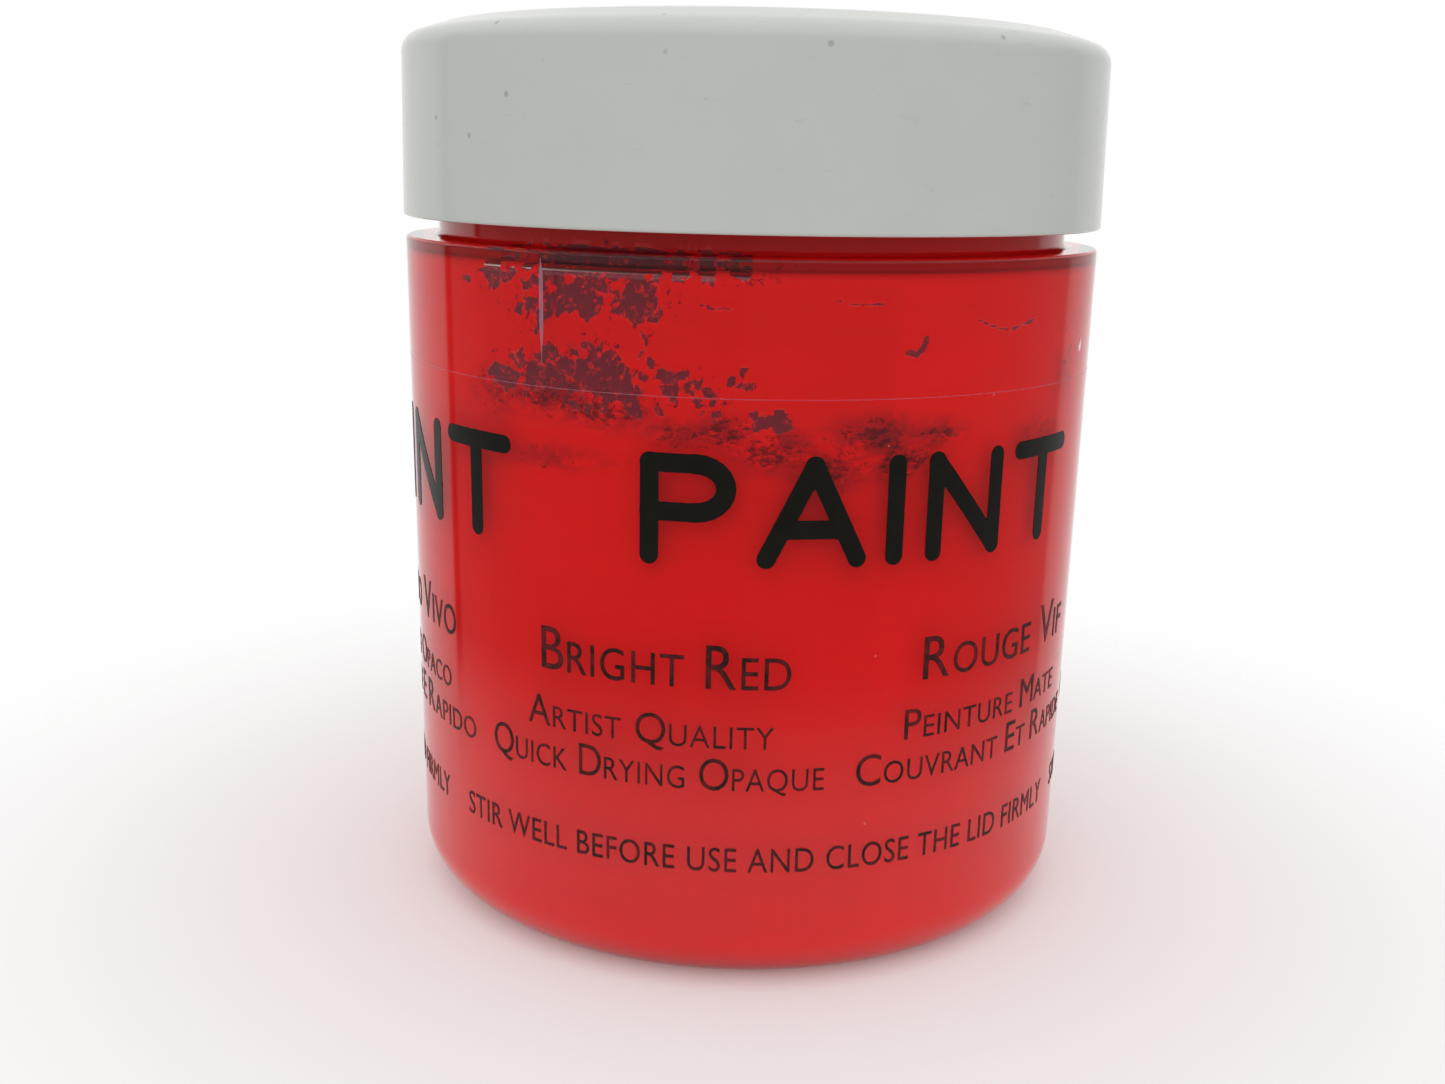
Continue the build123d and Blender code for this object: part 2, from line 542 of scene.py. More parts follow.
# Level of the surround in reflections, by degrees round from the back, and by height overhead.
REFLECTED_ROUND = (
    (-180, 0.20),
    (-110, 0.22),
    (-69, 0.24),
    (-67, 0.06),
    (-65, 0.06),
    (-63, 0.62),
    (-20, 0.95),
    (20, 0.95),
    (53, 0.55),
    (56, 0.26),
    (120, 0.22),
)
REFLECTED_OVERHEAD = ((0.30, 0.0), (0.62, 0.85), (1.0, 1.0))
# Level of the soft light that falls on the object, by height: 0 is straight down and 1 straight up.
SOFT_LIGHT = ((0.0, 0.60), (0.45, 0.62), (0.6, 0.68), (0.8, 1.0), (1.0, 1.1))


def level_ramp(nodes, value, stops):
    """A grey level that changes evenly between stops of (place, level)."""
    ramp = nodes.add("ShaderNodeValToRGB", {0: value})
    elements = ramp.color_ramp.elements
    while len(elements) < len(stops):
        elements.new(0.5)
    for element, (place, level) in zip(elements, stops):
        element.position = place
        element.color = grey(level)
    return ramp.outputs[0]


def surround():
    """Soft light all round, dimmer at the front in reflections, and white where seen directly."""
    world = bpy.data.worlds.new("studio")
    bpy.context.scene.world = world
    w = Nodes(world)
    split = w.add("ShaderNodeSeparateXYZ", {0: w.add("ShaderNodeTexCoord").outputs["Generated"]})
    x, y, up = split.outputs
    azimuth = w.add("ShaderNodeMath", {0: x, 1: y}, operation="ARCTAN2").outputs[0]
    round_share = w.add("ShaderNodeMapRange", {0: azimuth, 1: -math.pi, 2: math.pi}).outputs[0]
    stops = [((angle + 180) / 360, level) for angle, level in REFLECTED_ROUND]
    around = level_ramp(w, round_share, stops)
    overhead = level_ramp(w, up, REFLECTED_OVERHEAD)
    reflected = w.mix(overhead, around, grey(0.85))
    height = w.add("ShaderNodeMapRange", {0: up, 1: -1.0, 2: 1.0}).outputs[0]
    soft = level_ramp(w, height, SOFT_LIGHT)
    path = w.add("ShaderNodeLightPath").outputs
    unscattered = w.maths("SUBTRACT", 1.0, path["Diffuse Depth"], clamp=True)
    bounced = w.maths("MULTIPLY", path["Is Transmission Ray"], path["Glossy Depth"])
    glossy = w.maths("ADD", path["Is Glossy Ray"], bounced, clamp=True)
    mirrored = w.maths("MULTIPLY", glossy, unscattered)
    through = w.maths("MULTIPLY", path["Is Transmission Ray"], unscattered)
    seen = w.maths("MAXIMUM", path["Is Camera Ray"], through)
    colour = w.mix(mirrored, w.mix(seen, soft, grey(1.0)), reflected)
    background = w.add("ShaderNodeBackground", {0: colour})
    w.add("ShaderNodeOutputWorld", {0: background.outputs[0]})
    bpy.context.scene.view_settings.view_transform = "Standard"


def soft_lamp():
    """A wide soft lamp above and in front, which shows in no reflection."""
    lamp = bpy.data.lights.new("soft_lamp", "AREA")
    lamp.shape = "DISK"
    lamp.size = 0.5
    lamp.energy = 0.35
    lamp.color = (1.0, 1.0, 0.97)
    held = bpy.data.objects.new("soft_lamp", lamp)
    held.location = (-0.08, -0.4, 0.5)
    held.rotation_euler = (Vector((0, 0, 0.04)) - held.location).to_track_quat("-Z", "Y").to_euler()
    held.visible_glossy = False
    bpy.context.scene.collection.objects.link(held)


FLOOR_HALF = 0.15
FLOOR_FADE = (0.04, 0.1)
FLOOR_DROP = 0.00002


def pale_floor():
    """A pale floor that fades away into the white surround. Its sizes are in metres."""
    shader = Shader("floor")
    paper = shader.principled({"Base Color": grey(0.86), "Roughness": 0.9, "Specular IOR Level": 0.1})
    paper.inputs["Emission Color"].default_value = grey(1.0)
    paper.inputs["Emission Strength"].default_value = 0.06
    far = shader.add("ShaderNodeVectorMath", {0: shader.place}, operation="LENGTH").outputs["Value"]
    fade = shader.between(far, *FLOOR_FADE)
    clear = shader.add("ShaderNodeBsdfTransparent")
    edge = shader.add("ShaderNodeMixShader", {0: fade, 1: paper.outputs[0], 2: clear.outputs[0]})
    mesh = bpy.data.meshes.new("floor")
    corners = [(x * FLOOR_HALF, y * FLOOR_HALF, 0) for x, y in ((-1, -1), (1, -1), (1, 1), (-1, 1))]
    mesh.from_pydata(corners, [], [(0, 1, 2, 3)])
    mesh.materials.append(shader.finish(edge))
    floor = bpy.data.objects.new("floor", mesh)
    floor.location.z = -FLOOR_DROP
    bpy.context.scene.collection.objects.link(floor)


# ---------- jar, cap and liner ----------


def jar(material):
    """The clear shell, with its thread and the small gate mark under its base."""
    rows = outline(
        [
            (0, RECESS_DEPTH + GATE_RISE, 0, 0.5),
            (GATE_R - 0.15, RECESS_DEPTH + GATE_RISE, 0, 0),
            (GATE_R, RECESS_DEPTH, 0, 2.5),
            (RECESS_R - RECESS_SLOPE, RECESS_DEPTH, 0.25, 0),
            (RECESS_R, 0, 0.15, 0),
            (body_r(0), 0, BASE_CORNER, 3.0),
            (body_r(SHOULDER_Z), SHOULDER_Z, SHOULDER_EDGE, 0),
            (NECK_R, SHOULDER_Z, NECK_ROOT_FILLET, 0.18),
            (NECK_R, RIM_Z, RIM_EDGE, 0),
            (NECK_BORE_R, RIM_Z, RIM_EDGE, 2.0),
            (NECK_BORE_R, SHOULDER_UNDER_Z, 0.3, 0),
            (wall_r(SHOULDER_UNDER_Z), SHOULDER_UNDER_Z, INNER_SHOULDER_CORNER, 3.0),
            (wall_r(FLOOR_Z), FLOOR_Z, INNER_BASE_CORNER, 4.0),
            (0, FLOOR_Z, 0, 0),
        ]
    )

    def shape(r, z, angle):
        outer = (r > (NECK_R + NECK_BORE_R) / 2) & (z > SHOULDER_Z + NECK_ROOT_FILLET)
        return r + np.where(outer, thread_height(angle, z, JAR_THREAD), 0), z

    vertices, faces = turned(rows, even_angles(320), shape=shape)
    return new_object("jar_shell", vertices, faces, material, "jar", "jar_body")


# Across a flash rib, in half widths, and out from the wall, in shares of how far it stands out.
FLASH_SECTION = ((-1.0, -1.0), (-0.5, 0.6), (0.0, 1.0), (0.5, 0.6), (1.0, -1.0))


def flash(material):
    """The mould's flash: a ring and two ribs that fade out downwards, sunk a little into the wall."""
    ring_r = body_r(FLASH_RING_Z)
    low, high = FLASH_RING_Z - FLASH_RING_HALF, FLASH_RING_Z + FLASH_RING_HALF
    rows = [
        (ring_r - FLASH_OUT, low),
        (ring_r + FLASH_OUT / 2, FLASH_RING_Z),
        (ring_r - FLASH_OUT, high),
    ]
    vertices, faces = turned(rows, even_angles(240), closed=True)
    new_object("flash_ring", vertices, faces, material, "jar")
    steps = 24
    for side, angle in zip(("front", "back"), FLASH_ANGLES):
        vertices, faces = [], []
        for i in range(steps + 1):
            z = FLASH_FOOT_Z + (FLASH_TOP_Z - FLASH_FOOT_Z) * i / steps
            half = FLASH_HALF * float(smooth_step(min(i / 10, (steps - i) / 4) + 0.04))
            for across, out in FLASH_SECTION:
                r = body_r(z) + out * FLASH_OUT
                turn = math.radians(angle) + across * half / r
                vertices.append((r * math.sin(turn), -r * math.cos(turn), z))
        count = len(FLASH_SECTION)
        for i in range(steps):
            for j in range(count):
                k = (j + 1) % count
                faces.append((i * count + j, i * count + k, (i + 1) * count + k, (i + 1) * count + j))
        faces.append(tuple(range(count)))
        faces.append(tuple(range(steps * count, (steps + 1) * count)))
        new_object(f"flash_{side}", vertices, faces, material, "jar")


def cap(material):
    """The white cap, a thin shell with an inner thread and the liner's bead."""
    rows = outline(
        [
            (0, LINER_TOP_Z, 0, 4.0),
            (CAP_BORE_R, LINER_TOP_Z, 0.2, 0),
            (CAP_BORE_R, BEAD_Z + BEAD_HALF, 0, 0),
            (BEAD_CREST_R, BEAD_Z, 0.1, 0),
            (CAP_BORE_R, BEAD_Z - BEAD_HALF, 0, 0.16),
            (CAP_BORE_R, CAP_SKIRT_Z, CAP_LIP_EDGE, 0),
            (CAP_SKIRT_R, CAP_SKIRT_Z, CAP_LIP_EDGE, 1.5),
            (CAP_CORNER_R, CAP_CORNER_Z, CAP_CORNER, 0.5),
            (CAP_FLAT_R, CAP_TOP_Z, CAP_FLAT_EDGE, 3.0),
            (0, CAP_TOP_Z, 0, 0),
        ]
    )

    def shape(r, z, angle):
        inner = (np.abs(r - CAP_BORE_R) < 0.01) & (z < BEAD_Z - BEAD_HALF)
        return r + np.where(inner, thread_height(angle, z, CAP_THREAD), 0), z

    vertices, faces = turned(rows, even_angles(360), shape=shape)
    return new_object("cap_shell", vertices, faces, material, "cap", "screw_cap")


def liner(material):
    """The foam disc in the cap, with the rim's ring pressed faintly into its underside."""
    dent = 0.05
    rows = outline(
        [
            (0, RIM_Z, 0, 4.0),
            (NECK_BORE_R - 0.4, RIM_Z, 0, 0),
            (NECK_BORE_R + 0.2, RIM_Z + dent, 0.1, 0),
            (NECK_R - 0.2, RIM_Z + dent, 0.1, 0),
            (NECK_R + 0.4, RIM_Z, 0, 0),
            (LINER_R, RIM_Z, 0.15, 0),
            (LINER_R, LINER_TOP_Z - 0.002, 0.1, 4.0),
            (0, LINER_TOP_Z - 0.002, 0, 0),
        ]
    )
    vertices, faces = turned(rows, even_angles(240))
    return new_object("liner_disc", vertices, faces, material, "liner", "cap_liner")


# ---------- paint ----------

# Places where the dried film has come away: (angle, height, half width in degrees, half height, share).
BARE_PLACES = (
    (-22.0, 52.6, 15.5, 0.8, 1.0),
    (-16.4, 50.5, 3.4, 1.5, 1.0),
    (-23.0, 51.2, 2.2, 1.6, 1.0),
    (-28.2, 51.2, 3.6, 0.9, 0.9),
    (-34.0, 50.6, 4.0, 1.6, 0.6),
    (-33.6, 48.9, 1.6, 0.8, 0.7),
    (-41.0, 51.6, 5.0, 0.9, 0.35),
    (-32.5, 44.8, 6.0, 1.2, 0.8),
    (-39.0, 44.6, 3.2, 0.8, 0.6),
    (-23.0, 45.4, 3.2, 1.6, 0.8),
    (-21.5, 43.6, 6.6, 0.8, 0.75),
    (-16.4, 45.6, 2.4, 0.7, 1.0),
    (-9.8, 44.9, 2.8, 0.7, 1.0),
    (-5.0, 44.0, 1.7, 1.0, 0.9),
    (-0.5, 45.2, 1.2, 0.5, 0.7),
    (3.4, 42.4, 2.0, 0.5, 0.8),
    (65.0, 46.3, 3.0, 1.6, 0.15),
    (98.0, 51.5, 9.0, 1.2, 0.8),
    (121.0, 49.6, 5.0, 1.6, 0.7),
    (158.0, 44.6, 12.0, 1.3, 0.8),
    (171.0, 51.9, 8.0, 0.9, 0.9),
    (212.0, 47.0, 6.0, 1.6, 0.6),
    (246.0, 51.8, 14.0, 1.0, 0.85),
    (262.0, 45.0, 8.0, 1.2, 0.7),
)
# Fine cracks and nicks in the film: (half width, run of angle and height).
CRACKS = (
    (0.11, ((36.2, 49.2), (38.4, 48.8), (40.6, 48.5), (43.2, 48.3), (46.0, 48.6), (49.0, 48.9))),
    (0.10, ((-6.8, 50.2), (-4.6, 49.9), (-3.4, 50.1), (-1.9, 49.8))),
    (0.24, ((24.0, 47.1), (25.4, 46.9), (26.5, 47.4), (26.9, 48.0))),
    (0.12, ((-15.6, 48.2), (-14.9, 47.6), (-14.8, 47.2))),
    (0.10, ((13.0, 50.6), (16.5, 50.3), (20.0, 50.5))),
    (0.10, ((132.0, 47.6), (136.0, 47.0), (141.0, 47.3))),
    (0.10, ((224.0, 50.4), (229.0, 50.0), (233.0, 50.3))),
)
# Dark smears where the paint is thin at the wall, as above, with a depth for the share.
SMEAR_PLACES = (
    (-32.0, 43.8, 9.0, 2.4, 1.0),
    (-22.0, 42.8, 10.0, 2.0, 1.0),
    (-42.0, 43.0, 7.0, 2.4, 0.7),
    (-27.0, 46.2, 7.0, 1.2, 0.5),
    (-30.0, 39.0, 13.0, 1.2, 0.65),
    (-10.0, 41.4, 7.0, 1.4, 0.8),
    (-3.0, 41.6, 7.0, 1.5, 1.0),
    (4.0, 40.4, 8.0, 2.2, 1.0),
    (12.0, 39.0, 8.0, 2.2, 0.95),
    (20.0, 41.4, 10.0, 1.9, 1.0),
    (24.0, 39.6, 8.0, 2.0, 1.0),
    (30.0, 41.4, 7.0, 1.4, 0.9),
    (52.0, 40.6, 8.0, 1.4, 0.5),
    (60.0, 44.5, 6.0, 2.4, 0.35),
    (104.0, 41.0, 14.0, 1.4, 0.7),
    (150.0, 39.6, 16.0, 1.2, 0.6),
    (205.0, 41.2, 18.0, 1.3, 0.7),
    (268.0, 40.0, 15.0, 1.4, 0.7),
)
# Sizes of the flakes and chips, and the two wobbles of their edges: repeats a millimetre and reach.
FLAKE = 1.45
CHIP = 0.6
WOBBLES = ((0.8, 0.5), (2.4, 0.2))
# A cell's place times these gives a number whose fraction is as good as drawn at random.
DRAW = Vector((12.9898, 78.233, 37.719))
DRAW_SCALE = 43758.5453


def placed(places, angle, z, soft_from, soft_to):
    """The strongest of some soft-edged ellipses on the wall, at an angle and height."""
    most = 0.0
    for at, height, half_width, half_height, share in places:
        across = ((angle - at + 180) % 360 - 180) / half_width
        reach = math.hypot(across, (z - height) / half_height)
        most = max(most, share * float(smooth_step((soft_to - reach) / (soft_to - soft_from))))
    return most


def flaked(point, size, spread, share):
    """Over 0 inside cells of the film that are gone: millimetres from the cell's edge, about."""
    distances, cells = noise.voronoi(point / size)
    cell = cells[0] * size
    around = math.degrees(math.atan2(cell.x, -cell.y))
    chance = share * placed(BARE_PLACES, around, cell.z, 0.8, spread)
    draw = (math.sin(cell.dot(DRAW)) * DRAW_SCALE) % 1
    edge = (distances[1] - distances[0]) * size / 2
    return edge + 0.03 if draw < chance else -edge


def cracked(angle, z):
    """Over 0 inside the fine cracks: millimetres from a crack's edge."""
    most = -1.0
    degree = math.radians(1) * BODY_SHOULDER_R
    for half, run in CRACKS:
        for (a0, z0), (a1, z1) in zip(run, run[1:]):
            step = Vector(((a1 - a0) * degree, z1 - z0))
            here = Vector((((angle - a0 + 180) % 360 - 180) * degree, z - z0))
            along = min(1.0, max(0.0, here.dot(step) / step.dot(step)))
            most = max(most, half - (here - step * along).length)
    return most


def bare_field(angle, z):
    """Over 0 where the film has come away, in flakes, chips and cracks."""
    turn = math.radians(angle)
    point = Vector((BODY_SHOULDER_R * math.sin(turn), -BODY_SHOULDER_R * math.cos(turn), z))
    (slow, far), (fast, near) = WOBBLES
    point += noise.noise_vector(point * slow) * far + noise.noise_vector(point * fast) * near
    field = cracked(angle, z)
    if placed(BARE_PLACES, angle, z, 0.8, 2.0) > 0:
        field = max(field, flaked(point, FLAKE, 1.15, 1.0), flaked(point, CHIP, 1.7, 0.6))
    return field


def add_field(piece, name, values):
    """A number at each vertex, which the piece's material reads."""
    attribute = piece.data.attributes.new(name, "FLOAT", "POINT")
    attribute.data.foreach_set("value", np.asarray(values, np.float32))


def wall_places(piece):
    """Each vertex's angle, height and distance from the axis, in degrees and millimetres."""
    for vertex in piece.data.vertices:
        x, y, z = (c / MM for c in vertex.co)
        yield math.degrees(math.atan2(x, -y)), z, math.hypot(x, y)


def add_smears(piece):
    """The smear field on a piece that lies against the wall."""
    add_field(piece, "smear", [placed(SMEAR_PLACES, a, z, 0.0, 1.3) for a, z, _ in wall_places(piece)])


MENISCUS = 0.35
STIRRED = 0.45


def bulk_paint(material):
    """The paint in the jar, with a low meniscus and a stirred, skinned top."""
    edge_r = wall_r(PAINT_LEVEL_Z) + PRESSED_IN
    rows = outline(
        [
            (0, FLOOR_Z - PRESSED_IN, 0, 3.0),
            (wall_r(FLOOR_Z) + PRESSED_IN, FLOOR_Z - PRESSED_IN, INNER_BASE_CORNER, 0.6),
            (edge_r, PAINT_LEVEL_Z, 0, 0),
            (edge_r - 0.15, PAINT_LEVEL_Z, 0, 0.3),
            (edge_r - 2.2, PAINT_LEVEL_Z - MENISCUS, 1.5, 0.4),
            (0, PAINT_LEVEL_Z - MENISCUS, 0, 0),
        ]
    )

    def shape(r, z, angle):
        lift = np.zeros_like(z)
        for i in range(z.shape[0]):
            if rows[i][1] < PAINT_LEVEL_Z - MENISCUS - 0.01 or rows[i][0] > edge_r - 0.5:
                continue
            for j in range(z.shape[1]):
                turn = math.radians(angle[i, j])
                swirl = turn * 1.0 + r[i, j] * 0.22
                place = Vector((r[i, j] * math.sin(swirl), -r[i, j] * math.cos(swirl), 0.0))
                fade = min(1.0, (edge_r - r[i, j]) / 3)
                lift[i, j] = -STIRRED * fade * (0.5 + 0.5 * noise.fractal(place * 0.13, 0.8, 2.1, 4))
        return r, z + lift

    vertices, faces = turned(rows, even_angles(300), shape=shape)
    piece = new_object("paint_fill", vertices, faces, material, "jar", "paint")
    add_smears(piece)
    opened = [float(z > PAINT_LEVEL_Z - 1.2 and r < edge_r - 0.05) for _, z, r in wall_places(piece)]
    add_field(piece, "open", opened)
    return piece


# The film overlaps the paint a little. Its top edge is ragged from some way up the neck.
FILM_FOOT_Z = PAINT_LEVEL_Z - 0.6
RAGGED_FROM_Z = SHOULDER_Z + 4
RAGGED_DROP = 2.2


def dried_film(material):
    """The film on the wall, the shoulder's underside and the neck, flaked away in places."""
    inner = [
        (wall_r(FILM_FOOT_Z), FILM_FOOT_Z, 0, 0.22),
        (wall_r(SHOULDER_UNDER_Z), SHOULDER_UNDER_Z, INNER_SHOULDER_CORNER, 0.35),
        (NECK_BORE_R, SHOULDER_UNDER_Z, 0.3, 0.75),
        (NECK_BORE_R, FILM_TOP_Z, 0, 0),
    ]
    back = [
        (NECK_BORE_R - FILM, FILM_TOP_Z, 0.05, 1.5),
        (NECK_BORE_R - FILM, SHOULDER_UNDER_Z - FILM, 0.4, 1.5),
        (wall_r(SHOULDER_UNDER_Z) - FILM, SHOULDER_UNDER_Z - FILM, INNER_SHOULDER_CORNER, 2.0),
        (wall_r(FILM_FOOT_Z) - FILM, FILM_FOOT_Z, 0, 0),
    ]
    pressed = PRESSED_IN + 0.01
    outer = [(r + pressed, z + (pressed if r > NECK_BORE_R else 0), *rest) for r, z, *rest in inner]
    front = outline(outer)
    rows = front + outline(back)
    angles = [a for a in even_angles(1440) if abs(a - 180) > 105 or a % 1 == 0]
    bare = np.full((len(rows), len(angles)), -1.0)
    for i, (r, z) in enumerate(front):
        for j, angle in enumerate(angles):
            bare[i, j] = bare_field(angle, z)

    def shape(r, z, angle):
        sunk = FLAKE_DEPTH * smooth_step(bare / 0.12 + 0.3)
        ragged = np.zeros_like(z)
        for j in range(z.shape[1]):
            turn = math.radians(angle[0, j])
            place = Vector((math.sin(turn), math.cos(turn), 0.0)) * 4.0
            ragged[:, j] = -RAGGED_DROP * (0.5 + 0.5 * noise.fractal(place, 0.9, 2.2, 4))
        reach = smooth_step((z - RAGGED_FROM_Z) / (FILM_TOP_Z - RAGGED_FROM_Z))
        return r - sunk, z + ragged * reach

    vertices, faces = turned(rows, angles, closed=True, shape=shape)
    node = "dried_paint_film"
    piece = new_object("film_on_wall", vertices, faces, material, "jar", node)
    add_field(piece, "bare", bare.ravel())
    add_smears(piece)
    return piece


# ---------- print ----------

BIG_HEIGHT = 7.9
BIG_BASE_Z = 32.3
BIG_STROKE = 0.67
INK_SPREAD = 0.25
BIG_GRID = 0.19
BIG_WIDTH = 6.7
BIG_STARTS = (-15.0, 103.0, 247.2)
# The big word: each letter, and its place in degrees from the start of the word.
BIG_WORD = (("P", 0.0), ("A", 18.0), ("I", 30.4), ("N", 42.8), ("T", 60.8))


def bend(middle, radii, start, end):
    """A curved stroke: one run of points along part of an ellipse, between angles from the right."""
    turns = [math.radians(start + (end - start) * i / 12) for i in range(13)]
    run = [(middle[0] + radii[0] * math.cos(t), middle[1] + radii[1] * math.sin(t)) for t in turns]
    return (tuple(run),)


# Strokes of the big letters, in a box 1 wide and 1 high, as runs of points.
STROKES = {
    "P": (
        ((0.10, 0.0), (0.10, 1.0), (0.58, 1.0)),
        *bend((0.58, 0.74), (0.32, 0.26), -90, 90),
        ((0.58, 0.48), (0.10, 0.48)),
    ),
    "A": (((0.02, 0.0), (0.5, 1.0), (0.98, 0.0)), ((0.18, 0.32), (0.82, 0.32))),
    "I": (((0.5, 0.0), (0.5, 1.0)),),
    "N": (((0.08, 0.0), (0.08, 1.0), (0.92, 0.0), (0.92, 1.0)),),
    "T": (((0.02, 1.0), (0.98, 1.0)), ((0.5, 0.0), (0.5, 1.0))),
}


def stroke_distance(points, strokes):
    """How far each point lies from the edge of a letter's thick round strokes, with eased joins."""
    nearest = np.full(len(points), 1e9)
    for run in strokes:
        for start, end in zip(run, run[1:]):
            a, b = np.array(start), np.array(end)
            along = np.clip((points - a) @ (b - a) / ((b - a) @ (b - a)), 0, 1)
            gap = np.hypot(*(points - a - along[:, None] * (b - a)).T)
            soft = np.clip(0.5 + (nearest - gap) / (2 * INK_SPREAD), 0, 1)
            nearest = nearest * (1 - soft) + gap * soft - INK_SPREAD / 2 * soft * (1 - soft)
    return nearest - BIG_STROKE


def big_letter(letter):
    """A letter of thick round strokes as a flat grid, its edge points pulled onto the outline."""
    tall = BIG_HEIGHT - 2 * BIG_STROKE
    strokes = [[(x * BIG_WIDTH, BIG_STROKE + y * tall) for x, y in run] for run in STROKES[letter]]
    columns = np.arange(-1.2, BIG_WIDTH + 1.2, BIG_GRID)
    rows = np.arange(-0.4, BIG_HEIGHT + 0.4, BIG_GRID)
    points = np.array([(x, y) for y in rows for x in columns])
    middle = stroke_distance(points + BIG_GRID / 2, strokes).reshape(len(rows), len(columns)) < 0
    across = len(columns)
    quads = [
        (i * across + j, i * across + j + 1, (i + 1) * across + j + 1, (i + 1) * across + j)
        for i in range(len(rows) - 1)
        for j in range(across - 1)
        if middle[i, j]
    ]
    sides = {}
    for quad in quads:
        for a, b in zip(quad, quad[1:] + quad[:1]):
            key = (min(a, b), max(a, b))
            sides[key] = sides.get(key, 0) + 1
    edge = sorted({v for key, count in sides.items() if count == 1 for v in key})
    for _ in range(4):
        here = points[edge]
        gap = stroke_distance(here, strokes)
        rises = []
        for nudge in np.array(((0.01, 0), (0, 0.01))):
            rises.append(stroke_distance(here + nudge, strokes) - stroke_distance(here - nudge, strokes))
        slope = np.stack(rises, axis=1)
        slope /= np.maximum(np.hypot(*slope.T), 1e-6)[:, None]
        points[edge] = here - gap[:, None] * slope * 0.9
    used = sorted({v for quad in quads for v in quad})
    order = {v: i for i, v in enumerate(used)}
    return [tuple(points[v]) for v in used], [tuple(order[v] for v in quad) for quad in quads]


# Of the font's size: a capital's height. Of the small letter's height: gaps after a run and a word.
CAPITAL_SHARE = 0.72
RUN_GAP = 0.16
WORD_GAP = 0.55


def small_text(words, height, weight):
    """Words in the built-in font as a flat mesh from 0,0, cut into narrow upright strips."""
    curve = bpy.data.curves.new("words", "FONT")
    curve.body = words
    curve.size = height / CAPITAL_SHARE
    curve.offset = weight
    curve.resolution_u = 4
    curve.space_character = 1.06
    maker = bpy.data.objects.new("words", curve)
    bpy.context.scene.collection.objects.link(maker)
    bpy.context.view_layer.update()
    mesh = bpy.data.meshes.new_from_object(maker.evaluated_get(bpy.context.evaluated_depsgraph_get()))
    bpy.data.objects.remove(maker)
    bpy.data.curves.remove(curve)
    flat = bmesh.new()
    flat.from_mesh(mesh)
    bpy.data.meshes.remove(mesh)
    bmesh.ops.remove_doubles(flat, verts=flat.verts, dist=0.0005)
    low = min(v.co.x for v in flat.verts)
    high = max(v.co.x for v in flat.verts)
    for cut in range(1, int(high - low)):
        everything = flat.verts[:] + flat.edges[:] + flat.faces[:]
        bmesh.ops.bisect_plane(flat, geom=everything, plane_co=(low + cut, 0, 0), plane_no=(1, 0, 0))
    points = [(v.co.x - low, v.co.y) for v in flat.verts]
    flat.verts.index_update()
    faces = [tuple(v.index for v in f.verts) for f in flat.faces]
    flat.free()
    return points, faces, high - low


def capitals(words, big, small, weight):
    """Words with a larger first letter each, as one flat mesh and its length."""
    points, faces, x = [], [], 0.0
    for word in words.split():
        for run, height in ((word[0], big), (word[1:], small)):
            if not run:
                continue
            more, sheets, length = small_text(run, height, weight)
            faces += [tuple(i + len(points) for i in face) for face in sheets]
            points += [(x + px, py) for px, py in more]
            x += length + small * RUN_GAP
        x += small * WORD_GAP
    return points, faces, x - small * (WORD_GAP + RUN_GAP)


def wrapped(points, start_angle, base_z, squeeze=1.0):
    """Flat points laid round the body: x runs along the surface from an angle, y up from a height."""
    laid = []
    for x, y in points:
        z = base_z + y
        turn = math.radians(start_angle) + x * squeeze / body_r(base_z)
        laid.append((turn, z))
    return laid


def printed(name, sheets, material):
    """One piece of ink from flat sheets of (laid points, faces), thickened towards the wall."""
    vertices, faces = [], []
    for laid, parts in sheets:
        count = len(vertices)
        faces += [tuple(i + count for i in face) for face in parts]
        for turn, z in laid:
            r = body_r(z) + INK
            vertices.append((r * math.sin(turn), -r * math.cos(turn), z))
    edit = bmesh.new()
    for v in vertices:
        edit.verts.new(v)
    edit.verts.ensure_lookup_table()
    for face in faces:
        edit.faces.new([edit.verts[i] for i in face])
    bmesh.ops.recalc_face_normals(edit, faces=edit.faces)
    back = bmesh.ops.extrude_face_region(edit, geom=edit.faces[:], use_keep_orig=True)
    for v in back["geom"]:
        if isinstance(v, bmesh.types.BMVert):
            out = math.hypot(v.co.x, v.co.y)
            scale = (out - INK - INK_SUNK) / out
            v.co.x *= scale
            v.co.y *= scale
    edit.verts.index_update()
    points = [tuple(v.co) for v in edit.verts]
    outsides = [tuple(v.index for v in f.verts) for f in edit.faces]
    edit.free()
    piece = new_object(name, points, outsides, material, "jar")
    for polygon in piece.data.polygons:
        polygon.use_smooth = False
    return piece


def big_words(material):
    """The heavy word, three times round the body."""
    sheets = []
    for letter, place in BIG_WORD:
        points, faces = big_letter(letter)
        for start in BIG_STARTS:
            sheets.append((wrapped(points, start + place, BIG_BASE_Z), faces))
    printed("print_big_word", sheets, material)


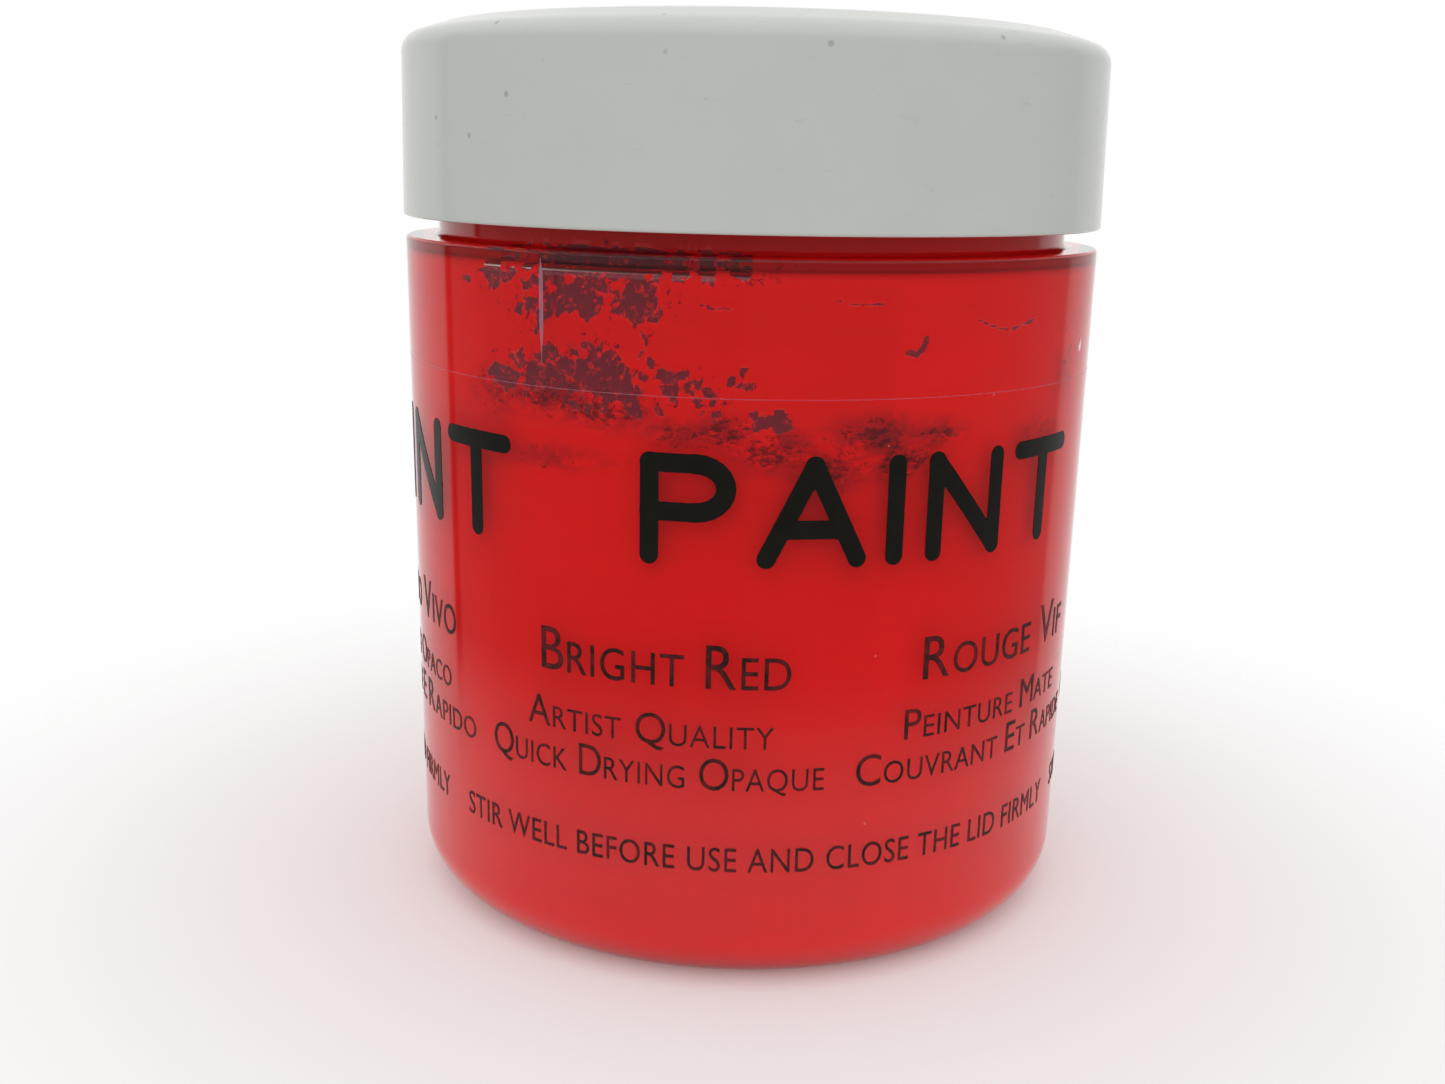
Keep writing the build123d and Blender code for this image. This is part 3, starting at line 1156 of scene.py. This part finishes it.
COLOUR_NAMES = ("BRIGHT RED", "ROUGE VIF", "ROSSO VIVO")
KINDS = ("ARTIST QUALITY", "PEINTURE MATE", "COLORE OPACO")
FINISHES = ("QUICK DRYING OPAQUE", "COUVRANT ET RAPIDE", "COPRENTE E RAPIDO")
# Small rows, six blocks round the body: (name, base height, large and small letter heights,
# length in degrees, offset of the middle in degrees, stroke weight, wordings).
BLOCKS = 6
BLOCK_MIDDLE = -14.5
ROWS = (
    ("print_colour_name", 23.45, 3.4, 2.5, 39.0, 2.5, 0.0, COLOUR_NAMES),
    ("print_paint_kind", 19.0, 2.45, 1.75, 39.5, 0.0, -0.008, KINDS),
    ("print_paint_finish", 15.8, 2.55, 1.8, 55.0, 0.0, -0.008, FINISHES),
)
RING_Z = 9.5
RING_HEIGHT = 1.95
RING_START = -49.6
RING_WORDS = "STIR WELL BEFORE USE AND CLOSE THE LID FIRMLY"
RING_LENGTH = 113.0
RING_REPEATS = 3


def small_print(material):
    """The rows of small capitals and the ring of advice near the base."""
    for name, base_z, big, small, length, offset, weight, wordings in ROWS:
        sheets = []
        made = {words: capitals(words, big, small, weight) for words in wordings}
        for block in range(BLOCKS):
            points, faces, natural = made[wordings[block % len(wordings)]]
            span = math.radians(length) * body_r(base_z)
            start = BLOCK_MIDDLE + offset + block * 360 / BLOCKS - length / 2
            sheets.append((wrapped(points, start, base_z, span / natural), faces))
        printed(name, sheets, material)
    points, faces, natural = small_text(RING_WORDS, RING_HEIGHT, 0.0)
    span = math.radians(RING_LENGTH) * body_r(RING_Z)
    sheets = [
        (wrapped(points, RING_START + i * 360 / RING_REPEATS, RING_Z, span / natural), faces)
        for i in range(RING_REPEATS)
    ]
    printed("print_care_ring", sheets, material)


camera()
surround()
soft_lamp()
pale_floor()
jar(clear_plastic())
# The flash's pale lilac colour is a painted glint.
flash(glint_painted_plastic())
cap(white_plastic())
liner(liner_foam())
bulk_paint(wet_paint())
dried_film(dried_paint())
big_words(black_ink())
small_print(worn_ink())
